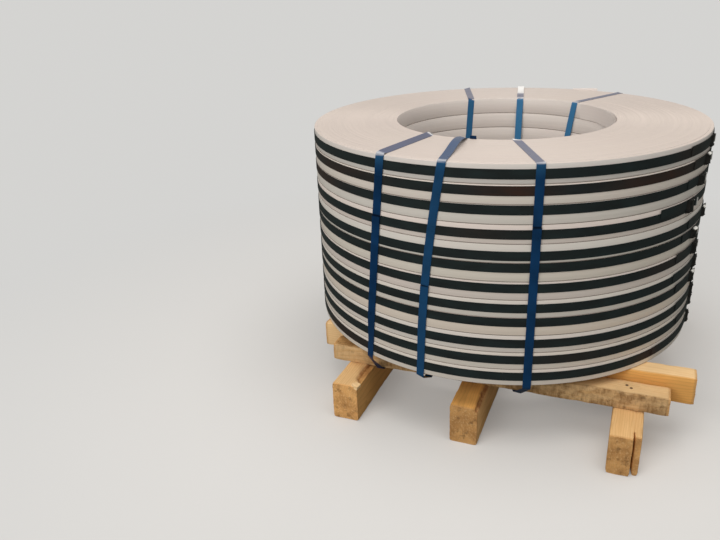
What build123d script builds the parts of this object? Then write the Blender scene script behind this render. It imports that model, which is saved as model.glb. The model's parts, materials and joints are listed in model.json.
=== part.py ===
from build123d import *
import math
import os

# A pack of narrow slit steel coils, stacked with their bores upright on a timber skid. Each coil
# has a steel band round it, closed by a crimped seal. Bundle straps run through the bore, round
# the whole pack and under the skid's cross timbers. All lengths are millimetres, +Z is up, and the
# origin is on the bore's axis at the level of the floor. +X runs along the cross timbers.

# Slit coils, wound on a 20 inch mandrel
COIL_COUNT = 12
BORE_RADIUS = 254.0
COIL_RADIUS = 452.0
STRIP_WIDTH = 38.75

# Turns that show on the pack's two open ends: the first and last few have slipped back, given as
# shares of the wound wall counted from the bore
BORE_TURNS_SHARE = 0.03
RIM_TURNS_SHARE = 0.965
BORE_TURNS_DROP = 0.5
RIM_TURNS_DROP = 1.2

# Steel band round each coil
BAND_WIDTH = 19.0
BAND_THICKNESS = 0.9
BAND_FIT = 0.2

# For each coil from the top down: where the band sits in the coil's spare width (0 at its top
# edge, 1 at its bottom edge), the azimuth in degrees at which the band's outer end starts, how
# far that end has slipped up, and the azimuth of the seal
COIL_BANDS = (
    (0.53, -26.8, 3.0, -10.8),
    (0.16, -24.0, 3.0, -14.4),
    (0.06, -26.2, 2.0, -17.6),
    (0.52, -36.8, 8.0, -23.2),
    (0.75, -22.3, 1.0, -7.2),
    (0.02, -25.0, 1.0, -17.4),
    (0.22, -26.8, 5.0, -14.2),
    (0.43, -27.0, -3.0, -10.4),
    (0.01, -24.5, -4.0, -11.8),
    (0.45, -22.6, 4.0, -7.4),
    (0.37, -20.7, -3.0, -3.6),
    (0.36, -32.8, 2.0, -5.2),
)
BAND_TAIL_ARC = 3.0

# Crimped seal that closes a band
SEAL_LENGTH = 30.0
SEAL_WALL = 1.0
SEAL_FIT = 0.2
SEAL_RISE = 5.0
NOTCH_SIDE = 3.6
NOTCH_PITCH = 14.0

# Bundle straps
STRAP_WIDTH = 16.0
STRAP_THICKNESS = 0.8
STRAP_FIT = 0.1
STRAP_LAP = 90.0
STRAP_BEND = 3.0
STRAP_TURN_DROP = 6.0

# For each bundle strap: the azimuths in degrees at which it crosses the top edge of the bore and
# the top edge of the pack, the bearer beside which it passes under the cross timbers, how far its
# middle runs to the right of that bearer's right face (or, below zero, to the left of its left
# face), and how far up the pack's height its outer end is cut off
BUNDLE_STRAPS = (
    (-115.1, -109.9, "left", 35.5, 0.727),
    (-97.3, -93.0, "middle", -78.5, 0.449),
    (-73.1, -70.3, "middle", 38.5, 0.738),
    (121.3, 115.2, "left", 29.1, 0.563),
    (91.6, 95.1, "middle", -19.1, 0.684),
    (56.7, 57.9, "middle", 49.4, 0.613),
)

# Half the arc in degrees of the skin round the pack and the cross timbers that a strap is cut
# from, wider than any strap leans
SKIN_HALF_ARC = 60.0

# Skid: bearers lie front to back on the floor, and the cross timbers are nailed over them
BEARER_WIDTH = 61.0
BEARER_HEIGHT = 90.0
BEARER_LENGTH = 906.0
BEARER_CENTRES = {"left": -246.5, "middle": 27.5, "right": 349.5}
CROSS_CENTRE = 55.0
TALL_LENGTH = 836.0
TALL_WIDTH = 47.5
TALL_HEIGHT = 62.0
LOW_LENGTH = 741.0
LOW_WIDTH = 50.0
LOW_HEIGHT = 42.0
LOW_SETBACK = 98.5
TIMBER_GAP = 11.0
SAWN_EDGE = 2.0

# Arris of a tall timber crushed by a strap that bends over it: how far the strap drops over it
BITE_DEPTH = 10.0
BITE_FIT = 0.5

# Wane left on the middle bearer, and the split that runs in from the right bearer's front end
WANE_WIDTH = 11.0
WANE_DEPTH = 16.0
WANE_LENGTH = 150.0
SPLIT_WIDTH = 3.0
SPLIT_LENGTH = 170.0
SPLINTER_WIDTH = 14.0
SPLINTER_SETBACK = 8.0

# Levels and radii that follow from the sizes above
SKID_TOP = BEARER_HEIGHT + TALL_HEIGHT
PACK_BOTTOM = SKID_TOP
PACK_TOP = PACK_BOTTOM + COIL_COUNT * STRIP_WIDTH
LOW_OUTER_FACE = BEARER_LENGTH / 2 - LOW_SETBACK
TALL_OUTER_FACE = LOW_OUTER_FACE - LOW_WIDTH - TIMBER_GAP
TALL_INNER_FACE = TALL_OUTER_FACE - TALL_WIDTH
CROSS_MIDDLE = (LOW_OUTER_FACE + TALL_INNER_FACE) / 2
LOW_TOP = BEARER_HEIGHT + LOW_HEIGHT
WALL = COIL_RADIUS - BORE_RADIUS
BAND_INNER = COIL_RADIUS + BAND_FIT
BAND_OUTER = BAND_INNER + BAND_THICKNESS
LAP_OUTER = BAND_OUTER + BAND_THICKNESS
STRAP_RIM_RADIUS = BAND_OUTER + STRAP_FIT
STRAP_BORE_RADIUS = BORE_RADIUS - STRAP_FIT - STRAP_THICKNESS
STRAP_TURN = PACK_BOTTOM - STRAP_TURN_DROP

# Side of a square, wider and taller than the pack, that a strap's leaning slab is raised from
SLAB_SIDE = 4 * COIL_RADIUS + 2 * (PACK_TOP - PACK_BOTTOM)

SPARE_WIDTH = STRIP_WIDTH - BAND_WIDTH


def radial_plane(azimuth):
    """Upright plane through the bore's axis, with its X outward at the azimuth and its Y up."""
    angle = math.radians(azimuth)
    outward = Vector(math.cos(angle), math.sin(angle), 0)
    return Plane(origin=(0, 0, 0), x_dir=outward, z_dir=outward.cross(Vector(0, 0, 1)))


def end_levels(open_end):
    """Radius at which each group of turns starts, and how far it has slipped back."""
    if not open_end:
        return [(BORE_RADIUS, 0.0)]
    return [
        (BORE_RADIUS, BORE_TURNS_DROP),
        (BORE_RADIUS + BORE_TURNS_SHARE * WALL, 0.0),
        (BORE_RADIUS + RIM_TURNS_SHARE * WALL, RIM_TURNS_DROP),
    ]


def end_outline(open_end, level, direction):
    """Points of one end of a coil's half section, from the bore to the rim."""
    starts = end_levels(open_end)
    stops = [radius for radius, _ in starts[1:]] + [COIL_RADIUS]
    points = []
    for (start, drop), stop in zip(starts, stops):
        points.append((start, level - direction * drop))
        points.append((stop, level - direction * drop))
    return points


def slit_coil(index):
    """One narrow coil as a turned ring; the outermost coils show slipped turns on their open end."""
    bottom = PACK_TOP - (index + 1) * STRIP_WIDTH
    top = bottom + STRIP_WIDTH
    upper = end_outline(index == 0, top, 1)
    lower = end_outline(index == COIL_COUNT - 1, bottom, -1)
    with BuildPart() as coil:
        with BuildSketch(Plane.XZ):
            with BuildLine():
                Polyline(*upper, *reversed(lower), close=True)
            make_face()
        revolve(axis=Axis.Z)
    return coil


def band_row(index):
    """A coil's row in the table of bands, which starts again past its end."""
    return COIL_BANDS[index % len(COIL_BANDS)]


def band_centre(index):
    """Height of the middle of a coil's band."""
    share = band_row(index)[0]
    coil_top = PACK_TOP - index * STRIP_WIDTH
    return coil_top - share * SPARE_WIDTH - BAND_WIDTH / 2


def coil_band(index):
    """Steel band round one coil, with its outer end lapped over it as far as the seal."""
    _, lap_start, slip, seal_azimuth = band_row(index)
    height = band_centre(index)
    with BuildPart() as band:
        with BuildSketch(Plane.XZ):
            with Locations(((BAND_INNER + BAND_OUTER) / 2, height)):
                Rectangle(BAND_THICKNESS, BAND_WIDTH)
        revolve(axis=Axis.Z)
        with BuildSketch(radial_plane(lap_start)):
            with Locations(((BAND_OUTER + LAP_OUTER) / 2, height + slip)):
                Rectangle(BAND_THICKNESS, BAND_WIDTH)
        revolve(axis=Axis.Z, revolution_arc=seal_azimuth + BAND_TAIL_ARC - lap_start)
    return band


def band_seal(index):
    """Stiff clip folded over the lapped band, crimped with notches along both of its edges."""
    _, _, slip, azimuth = band_row(index)
    height = band_centre(index) + slip / 2
    cavity_height = BAND_WIDTH + abs(slip) + 2 * SEAL_FIT
    cavity_depth = LAP_OUTER + SEAL_RISE - BAND_INNER
    seal_height = cavity_height + 2 * SEAL_WALL
    seal_depth = cavity_depth + SEAL_WALL
    section = radial_plane(azimuth)
    crimps = Plane(origin=(0, 0, height), x_dir=section.z_dir, z_dir=section.x_dir)
    with BuildPart() as seal:
        with BuildSketch(section):
            with Locations((BAND_INNER, height)):
                Rectangle(seal_depth, seal_height, align=(Align.MIN, Align.CENTER))
                Rectangle(cavity_depth, cavity_height, align=(Align.MIN, Align.CENTER), mode=Mode.SUBTRACT)
        extrude(amount=SEAL_LENGTH / 2, both=True)
        with BuildSketch(crimps):
            with GridLocations(NOTCH_PITCH, seal_height, 2, 2):
                Rectangle(NOTCH_SIDE, NOTCH_SIDE, rotation=45)
        extrude(amount=BAND_INNER + seal_depth + SEAL_WALL, mode=Mode.SUBTRACT)
    return seal


def edge_point(radius, azimuth, height):
    """A point on one of the pack's round edges."""
    angle = math.radians(azimuth)
    return Vector(radius * math.cos(angle), radius * math.sin(angle), height)


def strap_plane(index):
    """Plane in which a tight strap lies, from the two edges that it crosses and its way below."""
    bore_azimuth, top_azimuth, bearer_name, gap, _ = BUNDLE_STRAPS[index]
    along = BEARER_CENTRES[bearer_name] + math.copysign(BEARER_WIDTH / 2, gap) + gap
    top = edge_point(COIL_RADIUS, top_azimuth, PACK_TOP)
    bottom = Vector(along, math.copysign(CROSS_MIDDLE, top_azimuth), BEARER_HEIGHT)
    bore = edge_point(BORE_RADIUS, bore_azimuth, PACK_TOP)
    return Plane(origin=top, x_dir=top - bottom, z_dir=(top - bottom).cross(bore - bottom))


def skid_radii(plane, across, levels):
    """Distances from the bore's axis at which a strap's edges cross a cross timber's face."""
    normal = plane.z_dir
    radii = []
    for level in levels:
        for edge in (-STRAP_WIDTH / 2, STRAP_WIDTH / 2):
            along = (plane.origin.dot(normal) + edge - normal.Y * across - normal.Z * level) / normal.X
            radii.append(math.hypot(along, across))
    return radii


def low_radius(plane, side):
    """Radius at which a strap passes down the low batten's outer face."""
    return max(skid_radii(plane, side * (LOW_OUTER_FACE + STRAP_FIT), (BEARER_HEIGHT, LOW_TOP)))


def tall_radius(plane, side):
    """Radius at which a strap passes down the tall timber's inner face."""
    return min(skid_radii(plane, side * (TALL_INNER_FACE - STRAP_FIT), (BEARER_HEIGHT, STRAP_TURN)))


def bound_outline(plane, side):
    """Outline, as radius and height, of what a strap binds: the pack and two cross timbers.

    The strap slants from the pack's lower edges to the timbers' outer arrises. It bends over a low
    batten that stands out past the rim, and over the crushed arris of a tall timber that stands
    out past the bore's wall.
    """
    under = BEARER_HEIGHT - STRAP_FIT
    bore_face = STRAP_BORE_RADIUS + STRAP_THICKNESS
    low_face = low_radius(plane, side)
    tall_face = tall_radius(plane, side)
    outline = [(bore_face, STRAP_TURN), (bore_face, PACK_TOP)]
    outline += [(STRAP_RIM_RADIUS, PACK_TOP), (STRAP_RIM_RADIUS, STRAP_TURN)]
    if low_face > STRAP_RIM_RADIUS:
        outline.append((low_face, LOW_TOP + STRAP_FIT))
    outline += [(low_face, under), (tall_face, under)]
    if tall_face < bore_face:
        outline.append((tall_face, STRAP_TURN - BITE_DEPTH))
    return outline


def bundle_strap(index):
    """Flat strap round the pack and two cross timbers, in its leaning plane, with its lap."""
    _, top_azimuth, _, _, lap_share = BUNDLE_STRAPS[index]
    plane = strap_plane(index)
    lap_top = PACK_BOTTOM + lap_share * (PACK_TOP - PACK_BOTTOM)
    with BuildSketch() as bound:
        with BuildLine():
            Polyline(*bound_outline(plane, math.copysign(1, top_azimuth)), close=True)
        make_face()
        fillet([corner for corner in bound.vertices() if corner.Y < PACK_BOTTOM], radius=STRAP_BEND)
    with BuildPart() as strap:
        with BuildSketch(radial_plane(top_azimuth - SKIN_HALF_ARC)):
            add(bound.sketch)
            offset(amount=STRAP_THICKNESS)
            add(bound.sketch, mode=Mode.SUBTRACT)
            with Locations((STRAP_RIM_RADIUS + STRAP_THICKNESS, lap_top)):
                Rectangle(STRAP_THICKNESS, STRAP_LAP, align=(Align.MIN, Align.MAX))
        revolve(axis=Axis.Z, revolution_arc=2 * SKIN_HALF_ARC)
        with BuildSketch(plane):
            Rectangle(SLAB_SIDE, SLAB_SIDE)
        extrude(amount=STRAP_WIDTH / 2, both=True, mode=Mode.INTERSECT)
    return strap


def bearer(name):
    """Bearer on the floor; the middle one has a waney corner and the right one a split end."""
    front = -BEARER_LENGTH / 2
    centre = BEARER_CENTRES[name]
    right_face = centre + BEARER_WIDTH / 2
    with BuildPart() as timber:
        with BuildSketch(Plane.XZ.offset(-front)):
            with Locations((centre, BEARER_HEIGHT / 2)):
                Rectangle(BEARER_WIDTH, BEARER_HEIGHT)
        extrude(amount=-BEARER_LENGTH)
        chamfer(timber.edges().filter_by(Axis.Y), SAWN_EDGE)
        if name == "middle":
            with BuildSketch(Plane.XZ.offset(-front)):
                with BuildLine():
                    Polyline(
                        (right_face - WANE_WIDTH, BEARER_HEIGHT),
                        (right_face, BEARER_HEIGHT),
                        (right_face, BEARER_HEIGHT - WANE_DEPTH),
                        close=True,
                    )
                make_face()
            extrude(amount=-WANE_LENGTH, mode=Mode.SUBTRACT)
        if name == "right":
            with BuildSketch(Plane.XY):
                with BuildLine():
                    Polyline(
                        (right_face - SPLINTER_WIDTH - SPLIT_WIDTH, front),
                        (right_face - SPLINTER_WIDTH, front + SPLIT_LENGTH),
                        (right_face - SPLINTER_WIDTH, front),
                        close=True,
                    )
                make_face()
                with Locations((right_face - SPLINTER_WIDTH / 2, front + SPLINTER_SETBACK / 2)):
                    Rectangle(SPLINTER_WIDTH, SPLINTER_SETBACK)
            extrude(amount=BEARER_HEIGHT, mode=Mode.SUBTRACT)
    return timber


def crushed_arris(plane, side):
    """Cut that a strap has crushed into its tall timber's inner arris as it bends over it."""
    outer = BORE_RADIUS + BITE_FIT
    bend_top = STRAP_TURN - STRAP_BEND
    with BuildPart() as bite:
        with BuildSketch(Plane.YZ.offset(CROSS_CENTRE)):
            with BuildLine():
                Polyline(
                    (side * TALL_INNER_FACE, SKID_TOP),
                    (side * outer, SKID_TOP),
                    (side * outer, bend_top),
                    (side * TALL_INNER_FACE, bend_top - BITE_DEPTH),
                    close=True,
                )
            make_face()
        extrude(amount=TALL_LENGTH / 2, both=True)
        with BuildSketch(plane):
            Rectangle(SLAB_SIDE, SLAB_SIDE)
        extrude(amount=STRAP_WIDTH / 2 + BITE_FIT, both=True, mode=Mode.INTERSECT)
    return bite


def cross_timber(length, width, height, outer_face, side):
    """Timber across the bearers, at the front (side -1) or the back (side 1) of the skid."""
    centre = side * (outer_face - width / 2)
    with BuildPart() as timber:
        with BuildSketch(Plane.XY.offset(BEARER_HEIGHT)):
            with Locations((CROSS_CENTRE, centre)):
                Rectangle(length, width)
        extrude(amount=height)
        chamfer(timber.edges().filter_by(Axis.X), SAWN_EDGE)
    return timber


def tall_timber(side):
    """Tall timber that carries the pack, its inner arris crushed by the straps that bend over it."""
    with BuildPart() as timber:
        add(cross_timber(TALL_LENGTH, TALL_WIDTH, TALL_HEIGHT, TALL_OUTER_FACE, side).part)
        for index, (_, azimuth, _, _, _) in enumerate(BUNDLE_STRAPS):
            plane = strap_plane(index)
            if azimuth * side > 0 and tall_radius(plane, side) < BORE_RADIUS - STRAP_FIT:
                add(crushed_arris(plane, side).part, mode=Mode.SUBTRACT)
    return timber


def save(built, name):
    """Label one piece and write it as its own file."""
    built.part.label = name
    export_step(built.part, f"parts/{name}.step")


os.makedirs("parts", exist_ok=True)

for coil_index in range(COIL_COUNT):
    save(slit_coil(coil_index), f"slit_coil_{coil_index + 1:02d}")
    save(coil_band(coil_index), f"coil_band_{coil_index + 1:02d}")
    save(band_seal(coil_index), f"band_seal_{coil_index + 1:02d}")

for strap_index in range(len(BUNDLE_STRAPS)):
    save(bundle_strap(strap_index), f"bundle_strap_{strap_index + 1}")

for bearer_name in BEARER_CENTRES:
    save(bearer(bearer_name), f"bearer_{bearer_name}")

for end, end_side in (("front", -1), ("back", 1)):
    save(tall_timber(end_side), f"tall_timber_{end}")
    save(cross_timber(LOW_LENGTH, LOW_WIDTH, LOW_HEIGHT, LOW_OUTER_FACE, end_side), f"low_batten_{end}")
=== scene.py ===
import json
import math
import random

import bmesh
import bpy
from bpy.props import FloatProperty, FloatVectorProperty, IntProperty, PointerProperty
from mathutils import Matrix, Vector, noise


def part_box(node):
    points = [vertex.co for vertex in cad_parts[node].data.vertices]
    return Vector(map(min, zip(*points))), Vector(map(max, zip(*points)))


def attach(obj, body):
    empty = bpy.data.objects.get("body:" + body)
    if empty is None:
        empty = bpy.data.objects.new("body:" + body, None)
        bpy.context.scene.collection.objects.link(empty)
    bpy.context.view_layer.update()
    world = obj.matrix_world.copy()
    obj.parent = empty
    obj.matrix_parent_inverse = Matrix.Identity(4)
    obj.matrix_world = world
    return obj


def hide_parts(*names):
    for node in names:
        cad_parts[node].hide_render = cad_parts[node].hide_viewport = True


bl_info = {
    "name": "Slit Coil Pack",
    "version": (1, 0, 0),
    "blender": (4, 5, 0),
    "location": "View3D > Sidebar > Coil Pack",
    "description": "Finishes a strapped pack of slit steel coils on its timber skid",
    "category": "Object",
}

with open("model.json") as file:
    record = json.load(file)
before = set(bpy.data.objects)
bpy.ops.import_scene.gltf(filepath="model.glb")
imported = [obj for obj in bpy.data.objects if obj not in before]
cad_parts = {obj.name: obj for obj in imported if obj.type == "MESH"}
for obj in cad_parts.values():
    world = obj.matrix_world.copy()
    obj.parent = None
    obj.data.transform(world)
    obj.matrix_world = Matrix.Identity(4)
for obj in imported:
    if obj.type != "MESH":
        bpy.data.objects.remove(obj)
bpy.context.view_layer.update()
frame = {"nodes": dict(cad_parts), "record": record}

MM = 0.001
UP = Vector((0, 0, 1))
FULL_TURN = 2 * math.pi
NOISE_SEED = 4
COIL_COUNT = sum(name.startswith("slit_coil_") for name in frame["nodes"])
STRAP_COUNT = sum(name.startswith("bundle_strap_") for name in frame["nodes"])
RIM_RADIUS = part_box("slit_coil_01")[1][0]
BORE_RADIUS = frame["record"]["mounts"][0]["dims"]["r_mm"] * MM
PACK_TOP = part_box("slit_coil_01")[1][2]
PACK_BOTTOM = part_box(f"slit_coil_{COIL_COUNT:02d}")[0][2]
PACK_HEIGHT = PACK_TOP - PACK_BOTTOM
BEARER_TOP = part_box("bearer_left")[1][2]

# For each coil from the top down: the azimuth in degrees at which the band's outer end starts, how
# far in millimetres that end has slipped up, the azimuth of the seal, how far in millimetres the
# seal stands off the band, and how far the cut tail beyond it stands out
COIL_BANDS = (
    (-26.8, 3.0, -10.8, 3.5, 3.0),
    (-24.0, 3.0, -14.4, 6.5, 5.0),
    (-26.2, 2.0, -17.6, 7.0, 4.0),
    (-36.8, 8.0, -23.2, 6.0, 6.0),
    (-22.3, 3.5, -7.2, 5.5, 4.0),
    (-25.0, 1.0, -17.4, 7.0, 4.0),
    (-26.8, 5.0, -14.2, 6.0, 4.0),
    (-27.0, 4.0, -10.4, 5.0, 3.0),
    (-24.5, 3.5, -11.8, 6.0, 4.0),
    (-22.6, 4.0, -7.4, 5.0, 3.5),
    (-20.7, 3.0, -3.6, 4.5, 3.0),
    (-32.8, 2.0, -5.2, 4.5, 3.0),
)

# Bands, counted from 0 at the top, whose ring lies along the top of the CAD band's box, and how far
# their seals are raised; the other rings lie along the bottom of theirs
HIGH_BANDS = (7, 8, 10)
HIGH_SEAL_LIFT = 4.0 * MM

# Bands whose seals get a painted highlight: bare steel colour along their upper edge
GLINTING_SEALS = (1, 4, 5, 8)

# Red, green and blue tint of each coil's coated wall, from the top down
COIL_TINTS = (
    (0.92, 0.93, 0.94),
    (1.07, 1.05, 1.02),
    (1.00, 1.01, 1.00),
    (1.03, 0.99, 0.98),
    (0.94, 0.96, 0.95),
    (1.01, 1.00, 0.95),
    (1.00, 0.97, 0.96),
    (0.97, 0.98, 0.96),
    (1.02, 0.97, 0.90),
    (0.99, 0.99, 0.98),
    (0.99, 0.98, 0.94),
    (0.98, 0.97, 0.94),
)

# Brown tints of the bands' black finish: band, azimuth in degrees, spread in degrees, strength
BAND_TINTS = (
    (1, -76.0, 9.0, 1.0),
    (1, -38.0, 16.0, 0.9),
    (1, -128.0, 18.0, 0.6),
    (0, -28.0, 6.0, 0.35),
    (2, -140.0, 14.0, 0.7),
    (3, -84.0, 8.0, 0.35),
    (6, -32.0, 8.0, 0.4),
    (11, -34.0, 4.0, 0.8),
    (11, -128.0, 16.0, 0.5),
    (10, -60.0, 9.0, 0.3),
)

# For each bundle strap: the azimuths in degrees at which it crosses the top edge of the bore, the
# top edge of the pack and the bottom edge of the pack, and how far up the pack its outer end is cut
BUNDLE_STRAPS = (
    (-115.1, -109.9, -116.1, 0.727),
    (-97.3, -93.0, -98.8, 0.449),
    (-73.1, -70.3, -70.5, 0.738),
    (121.3, 115.2, 118.3, 0.563),
    (91.6, 95.1, 95.9, 0.684),
    (56.7, 57.9, 66.0, 0.613),
)

# How each strap lies, in millimetres: its bow off the top face, its hump by the rim, its sway along
# the outer wall and its gap from the bore's wall; then the degrees by which it tilts on its edge
STRAP_LIES = (
    (0.0, 0.0, 0.0, 0.0, 18.0),
    (9.5, 0.0, -9.0, 0.0, 8.0),
    (0.0, 0.0, 0.0, 0.0, 0.0),
    (0.0, 0.0, 0.0, 0.0, 0.0),
    (2.0, 6.0, 0.0, 9.0, 0.0),
    (0.0, 0.0, 0.0, 5.0, 0.0),
)

# Painted light on each strap: a painted highlight at the bore's edge, a painted highlight along the top face
# by the rim over a length in millimetres, a painted sky reflection on the top face, painted sheen on the
# outer wall and painted sheen in the bore
STRAP_PAINTED_LIGHT = (
    (1.0, 4.0, 0.38, 0.02, 0.8),
    (0.2, 6.0, 0.21, 0.20, 0.8),
    (1.0, 5.0, 0.55, 0.05, 0.8),
    (0.0, 0.0, 0.60, 0.05, 0.7),
    (0.6, 150.0, 0.60, 0.05, 1.0),
    (0.4, 0.0, 0.50, 0.05, 1.0),
)


# Settings that a user may change


def length_setting(name, description, millimetres):
    """A length, with its default in millimetres."""
    return FloatProperty(name=name, description=description, default=millimetres * MM, unit="LENGTH")


def angle_setting(name, description, degrees):
    """An angle, with its default in degrees."""
    return FloatProperty(name=name, description=description, default=math.radians(degrees), unit="ROTATION")


def colour_setting(name, description, colour):
    """A colour, with its default as red, green and blue."""
    return FloatVectorProperty(name=name, description=description, default=colour, subtype="COLOR")


class CoilSizes(bpy.types.PropertyGroup):
    """Sizes and colours of the slit coils."""

    segments: IntProperty(name="Segments", description="Flats round one coil", default=256, min=96)
    edge_break: length_setting("Edge break", "How far each slit edge is broken", 0.8)
    turn_pitch: length_setting("Turn group", "Width of a group of turns that shows on an open end", 3.0)
    turn_step: length_setting("Turn step", "How far one group may stand behind the next", 0.07)
    rim_drop: length_setting("Rim drop", "How far an open end's rim stands back", 1.2)
    bore_drop: length_setting("Bore drop", "How far an open end's bore edge stands back", 0.5)
    gauge: length_setting("Gauge", "Thickness of the strip at its loose ends", 0.6)
    wall_colour: colour_setting("Coated wall", "Coated strip on the outer walls", (0.735, 0.695, 0.65))
    end_colour: colour_setting("Wound ends", "Edges of the wound strip on an open end", (0.61, 0.535, 0.48))
    bore_colour: colour_setting("Bore wall", "The strip's other side, seen in the bore", (0.72, 0.675, 0.635))
    # Colour of the painted shade on the broken edges between coils and under the pack
    joint_shade_colour: colour_setting("Joint grime", "Dirt between two coils", (0.13, 0.095, 0.075))


class BandSizes(bpy.types.PropertyGroup):
    """Sizes and colours of the bands and their seals."""

    width: length_setting("Width", "Width of a band", 19.0)
    thickness: length_setting("Thickness", "Thickness of a band", 0.9)
    fit: length_setting("Fit", "Gap between a band and its coil", 0.2)
    edge: length_setting("Edge", "How far a band's edges are broken", 0.25)
    step: angle_setting("Step", "Arc between two sections of a band", 1.2)
    tail: angle_setting("Tail", "Arc of the lap beyond the seal", 3.0)
    colour: colour_setting("Black wax", "Colour of the bands", (0.015, 0.0195, 0.02))
    tint: colour_setting("Brown tint", "Colour where the wax has gone brown", (0.042, 0.022, 0.016))
    seal_length: length_setting("Seal length", "Length of a seal", 30.0)
    seal_wall: length_setting("Seal wall", "Thickness of a seal's sheet", 1.0)


class StrapSizes(bpy.types.PropertyGroup):
    """Sizes and colour of the bundle straps."""

    width: length_setting("Width", "Width of a strap", 17.0)
    thickness: length_setting("Thickness", "Thickness of a strap", 0.8)
    fit: length_setting("Fit", "Gap between a strap and what it binds", 0.1)
    edge: length_setting("Edge", "How far a strap's edges are broken", 0.2)
    lap: length_setting("Lap", "Length of the lapped joint", 90.0)
    station: length_setting("Station", "Spacing of the sections", 2.5)
    colour: colour_setting("Blue paint", "Colour of the straps", (0.0018, 0.026, 0.085))


class TimberSizes(bpy.types.PropertyGroup):
    """Sizes and colours of the skid's timbers."""

    cell: length_setting("Cell", "Size of a timber's mesh cells", 6.0)
    roughness: length_setting("Saw roughness", "How uneven the sawn faces are", 0.5)
    fresh: colour_setting("Fresh pine", "Colour of clean sawn pine", (0.86, 0.60, 0.315))
    late: colour_setting("Late wood", "Colour of the dark growth rings", (0.70, 0.40, 0.145))
    # The tan colour also serves as painted shade where the pack's shadow falls on the timbers
    tan_and_shade: colour_setting("Tanned pine", "Colour of planed and sunned faces", (0.82, 0.415, 0.105))
    # The weathered colour also serves as painted shadow of the pack on the battens' tops
    weathered_and_shade: colour_setting("Weathered pine", "Colour of stained faces", (0.235, 0.125, 0.046))


class StageSizes(bpy.types.PropertyGroup):
    """Floor and camera."""

    floor_colour: colour_setting("Floor", "Colour of the floor", (0.74, 0.735, 0.72))
    far_colour: colour_setting("Far floor", "Even tone of the floor away from the pack", (0.66, 0.655, 0.64))
    floor_bounce: colour_setting("Floor bounce", "Light that the floor throws back", (0.22, 0.23, 0.21))
    floor_size: length_setting("Floor size", "Radius of the floor", 60000.0)
    camera_place: FloatVectorProperty(
        name="Camera", description="Place of the camera",
        default=(0.3231, -1.6699, 0.9356), subtype="TRANSLATION",
    )
    camera_turn: angle_setting("Turn", "Turn of the camera to the right", -23.11)
    camera_pitch: angle_setting("Pitch", "How far the camera looks down", 22.85)
    camera_roll: angle_setting("Roll", "Roll of the camera", -2.44)
    lens: FloatProperty(name="Lens", description="Focal length on a 36 mm film", default=34.74)


# Shapes


def rise(value, zero=0.0, one=1.0):
    """Smooth rise from 0 at one value to 1 at another, above or below it, and flat beyond both."""
    share = max(0.0, min(1.0, (value - zero) / (one - zero)))
    return share * share * (3 - 2 * share)


def ring_point(azimuth, radius, height=0.0):
    """Point at an azimuth in radians, a distance from the bore's axis and a height."""
    return Vector((radius * math.cos(azimuth), radius * math.sin(azimuth), height))


def from_axis(place):
    """Distance of a place from the bore's axis."""
    return math.hypot(place.x, place.y)


def make_piece(bm, name, materials, crease=30.0):
    """Turn a bmesh into a finished object with clean normals, smooth below the crease angle."""
    bmesh.ops.remove_doubles(bm, verts=bm.verts, dist=1e-7)
    bmesh.ops.recalc_face_normals(bm, faces=bm.faces)
    limit = math.radians(crease)
    for edge in bm.edges:
        edge.smooth = len(edge.link_faces) == 2 and edge.calc_face_angle(0.0) < limit
    for face in bm.faces:
        face.smooth = True
    mesh = bpy.data.meshes.new(name)
    bm.to_mesh(mesh)
    bm.free()
    for material in materials:
        mesh.materials.append(material)
    piece = bpy.data.objects.new(name, mesh)
    bpy.context.scene.collection.objects.link(piece)
    return piece


def add_piece(bm, name, materials, slot, *nodes, crease=30.0):
    """Make a piece that rides on the pack, and stands for its CAD nodes."""
    piece = make_piece(bm, name, materials, crease)
    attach(piece, "root")
    if nodes:
        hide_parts(*nodes)
    return piece


def mark_verts(piece, name, share):
    """Store a share for each vertex, worked out from its place, which a material reads."""
    attribute = piece.data.attributes.new(name, "FLOAT", "POINT")
    attribute.data.foreach_set("value", [share(vert.co) for vert in piece.data.vertices])


def spun_ring(profile, segments):
    """A bmesh of a closed profile of (radius, height) points, spun round the bore's axis."""
    bm = bmesh.new()
    verts = [bm.verts.new((radius, 0.0, height)) for radius, height in profile]
    edges = [bm.edges.new((verts[i - 1], verts[i])) for i in range(len(verts))]
    bmesh.ops.spin(
        bm, geom=verts + edges, cent=(0, 0, 0), axis=(0, 0, 1), dvec=(0, 0, 0), angle=FULL_TURN,
        steps=segments, use_merge=True, use_duplicate=False,
    )
    return bm


def bent_strip(sections, width, thickness, edge):
    """A bmesh of a flat strip, made straight with a section at each whole metre along X, and then
    carried to sections of (place, outward, across)."""
    half_width = width / 2
    half_depth = thickness / 2
    upper = [
        (half_depth, half_width - edge), (half_depth - edge, half_width),
        (edge - half_depth, half_width), (-half_depth, half_width - edge),
    ]
    outline = upper + [(-out, -up) for out, up in upper]
    bm = bmesh.new()
    face = bm.faces.new([bm.verts.new((0.0, out, up)) for out, up in outline])
    bmesh.ops.spin(
        bm, geom=[face], cent=(0, 0, 0), axis=(1, 0, 0), dvec=(1, 0, 0), angle=0.0,
        steps=len(sections) - 1, use_merge=False, use_duplicate=False,
    )
    for vert in bm.verts:
        place, outward, across = sections[round(vert.co.x)]
        vert.co = place + outward * vert.co.y + across * vert.co.z
    return bm


def arc_sections(first, last, count, shape):
    """Sections round the bore's axis; shape gives radius and height for a share of the arc."""
    sections = []
    for step in range(count):
        share = step / (count - 1)
        azimuth = first + (last - first) * share
        sections.append((ring_point(azimuth, *shape(share)), ring_point(azimuth, 1.0), UP))
    return sections


# Finishes


def shade(colour, *factors):
    """A colour times one factor, or times one for each channel, and held below 1."""
    factors = factors if len(factors) == 3 else factors * 3
    return [min(1.0, channel * factor) for channel, factor in zip(colour, factors)]


def is_socket(value):
    """Whether a value comes from a node."""
    return isinstance(value, bpy.types.NodeSocket)


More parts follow.
